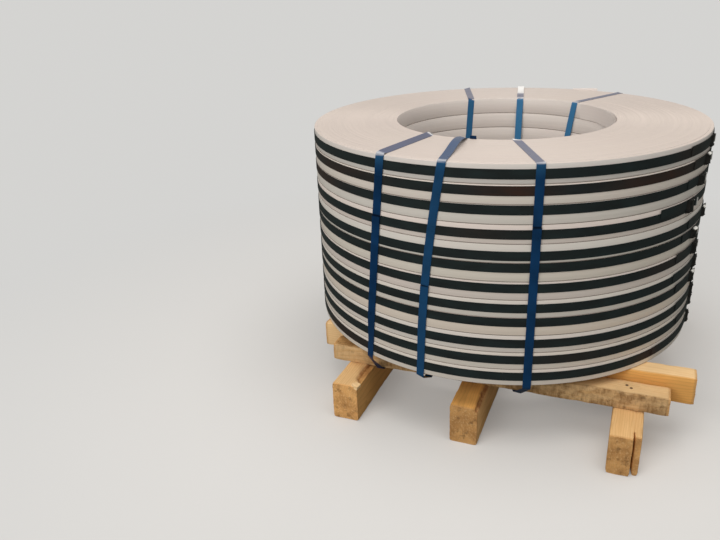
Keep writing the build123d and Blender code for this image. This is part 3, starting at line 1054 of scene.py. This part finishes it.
def mark_painted_light(piece, paint):
    """Mark where painted light lies along one strap: painted sheen, painted sky reflection and painted
    highlights.
    """
    bore_glint, rim_glint, painted_reflection, wall_shine, bore_shine = paint
    rim_glint_start = RIM_RADIUS - rim_glint * MM
    rim_glint_full = RIM_RADIUS - 0.7 * rim_glint * MM
    rim_glint_strength = 1.0 if rim_glint > 20 else 0.4

    # Painted sheen: brighter paint in the bore, at the top of the outer wall and along the outer wall
    def fresh(place):
        radius = from_axis(place)
        inside = rise(radius, BORE_RADIUS + 2 * MM, BORE_RADIUS - 1 * MM)
        up_the_bore = rise(place.z, PACK_BOTTOM, PACK_BOTTOM + 60 * MM)
        at_rim = rise(radius, RIM_RADIUS - 6 * MM, RIM_RADIUS) * rise(place.z, PACK_TOP - 40 * MM, PACK_TOP)
        return max(bore_shine * inside * up_the_bore, 0.35 * at_rim, wall_shine)

    # Painted sky reflection: a grey tone on the top face
    def painted_reflection_share(place):
        on_top = rise(place.z, PACK_TOP - 2 * MM, PACK_TOP)
        return painted_reflection * on_top * rise(from_axis(place), BORE_RADIUS, BORE_RADIUS + 4 * MM)

    # Painted highlight: white over the bore's edge and along the top face by the rim
    def worn(place):
        radius = from_axis(place)
        at_bore = rise(radius, BORE_RADIUS + 14 * MM, BORE_RADIUS + 11 * MM)
        at_bore *= rise(radius, BORE_RADIUS - 2 * MM, BORE_RADIUS - 1 * MM)
        at_rim = rise(radius, rim_glint_start, rim_glint_full) if rim_glint else 0.0
        return max(bore_glint * at_bore, rim_glint_strength * at_rim) * rise(place.z, PACK_TOP - 1 * MM, PACK_TOP)

    for name, share in (("fresh", fresh), ("painted_reflection", painted_reflection_share), ("worn", worn)):
        mark_verts(piece, name, share)


def build_strap(index, sizes, material):
    """One bundle strap, with a painted shadow line at its cut end."""
    run = strap_run(BUNDLE_STRAPS[index], STRAP_LIES[index], sizes)
    stations = relaxed(densified(run, sizes.station), 3)
    tilt = STRAP_LIES[index][4]
    sections = [tilted(section, tilt, sizes.width) for section in strap_sections(stations)]
    bm = bent_strip(sections, sizes.width, sizes.thickness, sizes.edge)
    name = f"bundle_strap_{index + 1}"
    piece = add_piece(bm, f"{name}_tight", [material], "blue_strap", name)
    mark_painted_light(piece, STRAP_PAINTED_LIGHT[index])
    cut_end = sections[-1][0]
    forward = (cut_end - sections[-2][0]).normalized()

    # Painted shadow line: the section at the cut end is marked near-black
    def cut(place):
        away = place - cut_end
        return 1.0 if abs(away.dot(forward)) < 1 * MM and away.length < sizes.width else 0.0

    mark_verts(piece, "cut", cut)


def build_strap_stub(sizes, material):
    """Cut end of a strap that stands up over the bore's edge beside the bowed strap."""
    azimuth = math.radians(-92.6)
    outward = ring_point(azimuth, 1.0)
    covered, showing, lean = 40 * MM, 7 * MM, 6 * MM
    count = 14
    sections = []
    for step in range(count):
        share = step / (count - 1)
        height = PACK_TOP - covered + share * (covered + showing)
        radius = BORE_RADIUS - 1.2 * MM + lean * rise(share, 0.6, 1.0)
        sections.append((ring_point(azimuth, radius, height), -outward, UP.cross(outward)))
    bm = bent_strip(sections, sizes.width * 0.8, sizes.thickness, sizes.edge)
    add_piece(bm, "strap_cut_end", [material], "blue_strap")


class OBJECT_OT_bundle_straps(bpy.types.Operator):
    """Pull the six blue straps round the pack and the skid's cross timbers"""

    bl_idname = "coil_pack.bundle_straps"
    bl_label = "Bundle Straps"

    def execute(self, context):
        sizes = context.scene.pack_straps
        paint = blue_paint(sizes.colour)
        for index in range(STRAP_COUNT):
            build_strap(index, sizes, paint)
        build_strap_stub(sizes, paint)
        return {"FINISHED"}


# Timbers


def sawn_block(low, high, cell):
    """A bmesh of a timber's block, cut into cells of about one size."""
    low, high = Vector(low), Vector(high)
    size = high - low
    bm = bmesh.new()
    bmesh.ops.create_cube(bm, size=1.0)
    bmesh.ops.scale(bm, vec=size, verts=bm.verts)
    bmesh.ops.translate(bm, vec=(low + high) / 2, verts=bm.verts)
    for axis in range(3):
        normal = [float(other == axis) for other in range(3)]
        cuts = max(1, round(size[axis] / cell))
        for cut in range(1, cuts):
            geometry = bm.verts[:] + bm.edges[:] + bm.faces[:]
            bmesh.ops.bisect_plane(bm, geom=geometry, plane_co=low.lerp(high, cut / cuts), plane_no=normal)
    return bm


def weather_block(bm, low, high, long_axis, sizes, seed, bites):
    """Make a block's faces uneven, wear its arrises and bite pieces off; returns for each vertex
    the share of bark and whether it lies on a sawn end."""
    cross = [axis for axis in range(3) if axis != long_axis]
    on_face = 1e-6
    end_wear = 0.8 * MM
    shares = []
    for vert in bm.verts:
        at = vert.co.copy()
        inward = [(at[i] - low[i] < on_face) - (high[i] - at[i] < on_face) for i in range(3)]
        wobble = noise.noise_vector(at * 9 + Vector((seed, 0, 0)))
        fine = noise.noise_vector(at * 70 + Vector((0, seed, 0)))
        moved = at + fine * sizes.roughness
        for axis in cross:
            moved[axis] += wobble[axis] * sizes.roughness * 1.6
        if all(inward[axis] for axis in cross):
            ragged = noise.noise(Vector((at[long_axis] * 30, seed, 2.0)))
            for axis in cross:
                moved[axis] += inward[axis] * (1.2 + 1.6 * max(0.0, ragged)) * MM
        bark = 0.0
        for bite in bites:
            moved, bark_here = bite(at, moved)
            bark = max(bark, bark_here)
        if inward[long_axis]:
            for axis in cross:
                moved[axis] += inward[axis] * end_wear
            moved[long_axis] += fine.x * end_wear
        vert.co = (moved.x, moved.y, max(moved.z, 0.0))
        shares.append((bark, inward[long_axis] != 0))
    return shares


def waned_corner(high, width, depth, first, last):
    """A wane along a bearer's top right corner between two places along Y, with a ragged edge."""

    def shape(at, moved):
        fade = rise(at.y, first, first + 30 * MM) * rise(at.y, last, last - 50 * MM)
        ragged = fade * (0.75 + 0.5 * noise.noise(Vector((at.y * 22, 3.0, 1.0))))
        if min(width, depth) * ragged < 0.1 * MM:
            return moved, 0.0
        excess = 1.0 - (high[0] - at.x) / (width * ragged) - (high[2] - at.z) / (depth * ragged)
        if excess <= 0:
            return moved, 0.0
        moved = moved - Vector((width, 0, depth)) * (ragged * excess * 0.5)
        return moved, min(1.0, excess * 2.5) * fade

    return shape


def crushed_corner(face, top):
    """The bite that a strap has crushed into the tall timber's top corner inside the bore."""
    middle, width, depth = -14 * MM, 8.5 * MM, 19.0 * MM

    def shape(at, moved):
        reach = rise(abs(at.x - middle), 15 * MM, 9 * MM)
        excess = 1.0 - (at.y - face) / width - (top - at.z) / depth
        if reach > 0 and excess > 0:
            moved = moved + Vector((0, width, -depth)) * (excess * 0.5 * reach)
        return moved, 0.0

    return shape


def nowhere(place):
    """No share of a finish at any place."""
    return 0.0


def build_timber(name, long_axis, material, sizes, seed, bites=(), stain_and_shade=nowhere, tan_and_shade=nowhere, blocks=None):
    """One timber, from its CAD box or from the blocks given, as a rough-sawn piece."""
    parts = bmesh.new()
    shares = []
    for low, high in blocks or [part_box(name)]:
        bm = sawn_block(low, high, sizes.cell)
        shares += weather_block(bm, low, high, long_axis, sizes, seed, bites)
        carrier = bpy.data.meshes.new("carrier")
        bm.to_mesh(carrier)
        bm.free()
        parts.from_mesh(carrier)
        bpy.data.meshes.remove(carrier)
    for mark in ("bark", "stain_and_shade", "tan_and_shade", "end_grain"):
        parts.verts.layers.float.new(mark)
    layers = parts.verts.layers.float
    for vert, (bark, on_end) in zip(parts.verts, shares):
        vert[layers["bark"]] = bark
        vert[layers["stain_and_shade"]] = 0.35 if on_end else stain_and_shade(vert.co)
        vert[layers["tan_and_shade"]] = tan_and_shade(vert.co)
        vert[layers["end_grain"]] = float(on_end)
    add_piece(parts, f"{name}_sawn", [material], "sawn_pine", name, crease=35.0)


def build_splinter(place, material):
    """Pale chip torn up at the left bearer's front corner."""
    size = Vector((17.0, 16.0, 9.0)) * MM
    bm = sawn_block(-size / 2, size / 2, 2.0 * MM)
    for vert in bm.verts:
        vert.co.x *= 1.0 - 0.35 * rise(vert.co.y, -size.y / 2, size.y / 2)
        vert.co += noise.noise_vector(vert.co * 160.0) * 1.2 * MM
    turn = Matrix.Rotation(math.radians(12), 4, "Y") @ Matrix.Rotation(math.radians(-20), 4, "Z")
    bmesh.ops.transform(bm, matrix=Matrix.Translation(place) @ turn, verts=bm.verts)
    add_piece(bm, "bearer_left_splinter", [material], "sawn_pine")


class OBJECT_OT_skid_bearers(bpy.types.Operator):
    """Saw the three bearers, with their wane, split and torn corner"""

    bl_idname = "coil_pack.skid_bearers"
    bl_label = "Skid Bearers"

    def execute(self, context):
        sizes = context.scene.pack_timber
        left_low, left_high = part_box("bearer_left")
        right_low, right_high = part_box("bearer_right")
        middle_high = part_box("bearer_middle")[1]
        front = left_low[1]
        top_face = left_high[2] - 2.5 * MM
        split = right_high[0] - 15.5 * MM
        split_end = front + 30 * MM
        split_width = 3.5 * MM

        # Share of tan by face; the middle bearer's top takes it as painted shade under the pack
        def tan_and_shade_share(on_top, on_sides):
            return lambda at: on_top if at.z > top_face else on_sides

        def opened(at, moved):
            opening = split_width * rise(at.y, split_end + 2 * MM, front)
            if abs(at.x - split) < 0.2 * MM and at.y > split_end:
                moved.x = at.x
            if at.x > split:
                moved.x += opening * (right_high[0] - at.x) / (right_high[0] - split)
            return moved, 0.0

        pine = sawn_pine("pine_left_bearer", sizes, "Y", (0.0, 0.21, 0.015), 0.25, end_pale=1.28)
        wane = waned_corner(left_high, 26 * MM, 9 * MM, front + 10 * MM, front + 210 * MM)
        build_timber("bearer_left", 1, pine, sizes, 3.0, [wane], tan_and_shade=tan_and_shade_share(0.2, 0.7))

        pine = sawn_pine("pine_middle_bearer", sizes, "Y", (0.0, -0.03, -0.02), 0.45, end_pale=0.95)
        wane = waned_corner(middle_high, 13 * MM, 15 * MM, front - 20 * MM, front + 150 * MM)
        # The middle bearer's top takes almost the full tan as painted shade under the pack
        build_timber("bearer_middle", 1, pine, sizes, 17.0, [wane], tan_and_shade=tan_and_shade_share(0.95, 0.4))

        pine = sawn_pine("pine_right_bearer", sizes, "Y", (0.0, -0.42, -0.01), 0.15)
        main = (right_low, (split, right_high[1], right_high[2]))
        strip = ((split + 0.05 * MM, right_low[1] + 8 * MM, right_low[2]), right_high)
        both = (main, strip)
        build_timber("bearer_right", 1, pine, sizes, 29.0, [opened], tan_and_shade=tan_and_shade_share(0.3, 0.7), blocks=both)

        pine = sawn_pine("pine_torn_corner", sizes, "X", (0.0, 0.1, 0.3), 0.0, pale=1.08, figure=0.1)
        corner = Vector((left_high[0], front, left_high[2]))
        build_splinter(corner + Vector((-4 * MM, 7 * MM, -1 * MM)), pine)
        return {"FINISHED"}


class OBJECT_OT_cross_timbers(bpy.types.Operator):
    """Saw the tall timbers and the low battens that lie across the bearers"""

    bl_idname = "coil_pack.cross_timbers"
    bl_label = "Cross Timbers"

    def execute(self, context):
        sizes = context.scene.pack_timber
        near_face = 2.5 * MM
        for seed, end in ((41.0, "front"), (53.0, "back")):
            outer_corner, inner_corner = (0, 1) if end == "front" else (1, 0)
            tall_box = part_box(f"tall_timber_{end}")
            tall_face = tall_box[outer_corner][1]
            low_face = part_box(f"low_batten_{end}")[outer_corner][1]

            def planed(at):
                return 0.95 if abs(at.y - tall_face) < near_face and at.x > -100 * MM else 0.0

            # Weathering on the outer face, less towards the left; on the other faces light weathering, darker
            # towards the left as painted shadow of the pack
            def stain_and_shadow_share(at):
                to_left = rise(at.x, -200 * MM, -260 * MM)
                return 0.95 - 0.55 * to_left if abs(at.y - low_face) < near_face else 0.1 + 0.75 * to_left

            # Tan towards the left on the faces other than the outer one, as painted shadow of the pack
            def tan_and_shade_share(at):
                to_left = rise(at.x, -220 * MM, -270 * MM)
                return 0.6 * to_left if abs(at.y - low_face) > near_face else 0.0

            pine = sawn_pine(f"pine_tall_{end}", sizes, "X", (0.0, 0.33, -0.19), 0.1, pale=1.1, figure=0.45)
            bites = [crushed_corner(tall_box[inner_corner][1], tall_box[1][2])] if end == "back" else []
            build_timber(f"tall_timber_{end}", 0, pine, sizes, seed, bites, tan_and_shade=planed)
            pine = sawn_pine(f"pine_low_{end}", sizes, "X", (0.0, 0.31, -0.13), 0.3)
            build_timber(f"low_batten_{end}", 0, pine, sizes, seed + 7, stain_and_shade=stain_and_shadow_share, tan_and_shade=tan_and_shade_share)
        return {"FINISHED"}


def build_nail(place, name, material):
    """One nail head, sunk a little at the batten's top."""
    bm = bmesh.new()
    bmesh.ops.create_cone(
        bm, cap_ends=True, segments=20, radius1=3.4 * MM, radius2=3.0 * MM, depth=1.2 * MM,
        matrix=Matrix.Translation(place),
    )
    bmesh.ops.bevel(
        bm, geom=bm.edges[:], offset=0.25 * MM, affect="EDGES", segments=1, profile=0.5, material=-1
    )
    add_piece(bm, name, [material], "sawn_pine")


class OBJECT_OT_skid_nails(bpy.types.Operator):
    """Drive the nails that hold the low battens on the bearers"""

    bl_idname = "coil_pack.skid_nails"
    bl_label = "Skid Nails"

    def execute(self, context):
        rust = mottled("rusty_nail", (0.1, 0.052, 0.024), 300.0, 1.3, 0.7, 0.7, 0.05 * MM)
        off_centre, half_pitch, sunk = 3.8 * MM, 4.4 * MM, 0.1 * MM
        for end in ("front", "back"):
            low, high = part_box(f"low_batten_{end}")
            across = (low[1] + high[1]) / 2
            for bearer in ("left", "middle", "right"):
                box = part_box(f"bearer_{bearer}")
                along = (box[0][0] + box[1][0]) / 2 - off_centre
                for number, shift in ((1, -half_pitch), (2, half_pitch)):
                    place = Vector((along + shift, across - shift, high[2] - sunk))
                    build_nail(place, f"nail_{end}_{bearer}_{number}", rust)
        return {"FINISHED"}


# Stage


def aim_camera(sizes):
    """Camera at the photographed angle, framed for a picture of 720 by 540."""
    turn, pitch, roll = sizes.camera_turn, sizes.camera_pitch, sizes.camera_roll
    forward = Vector((math.sin(turn) * math.cos(pitch), math.cos(turn) * math.cos(pitch), -math.sin(pitch)))
    right = Vector((math.cos(turn), -math.sin(turn), 0.0))
    up = right.cross(forward)
    rolled_right = right * math.cos(roll) + up * math.sin(roll)
    rolled_up = up * math.cos(roll) - right * math.sin(roll)
    axes = Matrix((rolled_right, rolled_up, -forward)).transposed()
    data = bpy.data.cameras.new("photo_camera")
    data.sensor_fit = "HORIZONTAL"
    data.sensor_width = 36.0
    data.lens = sizes.lens
    data.clip_end = 200.0
    camera = bpy.data.objects.new("photo_camera", data)
    camera.matrix_world = Matrix.Translation(Vector(sizes.camera_place)) @ axes.to_4x4()
    bpy.context.scene.collection.objects.link(camera)
    bpy.context.scene.camera = camera


def add_softbox(name, place, size, power, colour):
    """One rectangular lamp, pointed at the middle of the pack."""
    aim = Vector((0.0, 0.0, 0.4))
    data = bpy.data.lights.new(name, "AREA")
    data.shape = "RECTANGLE"
    data.size, data.size_y = size
    data.energy = power
    data.color = colour
    lamp = bpy.data.objects.new(name, data)
    lamp.location = place
    lamp.rotation_euler = (aim - Vector(place)).to_track_quat("-Z", "Y").to_euler()
    bpy.context.scene.collection.objects.link(lamp)


def light_room(sizes):
    """Soft light from everywhere, and the floor's far colour behind it."""
    world = bpy.data.worlds.new("pale_room")
    bpy.context.scene.world = world
    finish = Finish(world)
    seen = finish.in_view()
    colour = finish.mix(seen, (1.0, 0.97, 0.94), sizes.far_colour)
    strength = finish.ranged(seen, 0.0, 1.0, 0.5, 1.0)
    finish.feed(finish.tree.nodes["Background"], {"Color": colour, "Strength": strength})


def build_floor(sizes):
    """Plain pale floor: lit near the pack, and one even tone further off."""
    bm = bmesh.new()
    bmesh.ops.create_circle(bm, cap_ends=True, segments=96, radius=sizes.floor_size)
    finish = new_finish("pale_floor")
    spot = finish.places()
    mottle = finish.grain(spot, 1.4, 4.0)
    tone = finish.coats(shade(sizes.floor_colour, 0.985), (mottle, 0.35, 0.65, 1.0, sizes.floor_colour))
    material = finish.dress(tone, 0.9, specular=0.1)
    lit = finish.tree.nodes["Principled BSDF"].outputs[0]
    even = finish.node("ShaderNodeEmission", {"Color": (*sizes.far_colour, 1.0), "Strength": 1.0}).outputs[0]
    bounce = finish.node("ShaderNodeBsdfDiffuse", {"Color": (*sizes.floor_bounce, 1.0)}).outputs[0]
    away = finish.node("ShaderNodeVectorMath", {0: spot}, operation="LENGTH").outputs["Value"]
    far = finish.ranged(away, 0.55, 1.7, 0.25, 1.0)
    shown = finish.node("ShaderNodeMixShader", {0: far, 1: lit, 2: even}).outputs[0]
    whole = finish.node("ShaderNodeMixShader", {0: finish.in_view(), 1: bounce, 2: shown}).outputs[0]
    finish.feed(finish.tree.nodes["Material Output"], {"Surface": whole})
    floor = make_piece(bm, "pale_floor", [material])


class OBJECT_OT_studio_stage(bpy.types.Operator):
    """Lay the floor, hang the lamps and set the camera"""

    bl_idname = "coil_pack.studio_stage"
    bl_label = "Studio Stage"

    def execute(self, context):
        sizes = context.scene.pack_stage
        context.scene.view_settings.view_transform = "Standard"
        aim_camera(sizes)
        light_room(sizes)
        build_floor(sizes)
        add_softbox("roof_softbox", (0.3, -0.5, 3.4), (2.6, 2.6), 58.0, (1.0, 0.96, 0.92))
        add_softbox("front_softbox", (-1.5, -4.3, 2.9), (3.0, 2.2), 96.0, (1.0, 0.965, 0.93))
        return {"FINISHED"}


OPERATORS = (
    OBJECT_OT_studio_stage,
    OBJECT_OT_slit_coils,
    OBJECT_OT_strip_ends,
    OBJECT_OT_coil_bands,
    OBJECT_OT_band_seals,
    OBJECT_OT_bundle_straps,
    OBJECT_OT_skid_bearers,
    OBJECT_OT_cross_timbers,
    OBJECT_OT_skid_nails,
)


class VIEW3D_PT_coil_pack(bpy.types.Panel):
    """Lists the pieces of the coil pack."""

    bl_label = "Coil Pack"
    bl_idname = "VIEW3D_PT_coil_pack"
    bl_space_type = "VIEW_3D"
    bl_region_type = "UI"
    bl_category = "Coil Pack"

    def draw(self, context):
        for operator in OPERATORS:
            self.layout.operator(operator.bl_idname)


SIZE_GROUPS = (
    ("pack_coils", CoilSizes),
    ("pack_bands", BandSizes),
    ("pack_straps", StrapSizes),
    ("pack_timber", TimberSizes),
    ("pack_stage", StageSizes),
)


def register():
    for name, group in SIZE_GROUPS:
        bpy.utils.register_class(group)
        setattr(bpy.types.Scene, name, PointerProperty(type=group))
    for operator in OPERATORS:
        bpy.utils.register_class(operator)
    bpy.utils.register_class(VIEW3D_PT_coil_pack)


def unregister():
    bpy.utils.unregister_class(VIEW3D_PT_coil_pack)
    for operator in reversed(OPERATORS):
        bpy.utils.unregister_class(operator)
    for name, group in reversed(SIZE_GROUPS):
        delattr(bpy.types.Scene, name)
        bpy.utils.unregister_class(group)


def write_sizes():
    """Bring the view layer up to date."""
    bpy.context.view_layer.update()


def main():
    register()
    noise.seed_set(NOISE_SEED)
    bpy.ops.coil_pack.studio_stage()
    bpy.ops.coil_pack.slit_coils()
    bpy.ops.coil_pack.strip_ends()
    bpy.ops.coil_pack.coil_bands()
    bpy.ops.coil_pack.band_seals()
    bpy.ops.coil_pack.bundle_straps()
    bpy.ops.coil_pack.skid_bearers()
    bpy.ops.coil_pack.cross_timbers()
    bpy.ops.coil_pack.skid_nails()
    write_sizes()


if __name__ == "__main__":
    main()
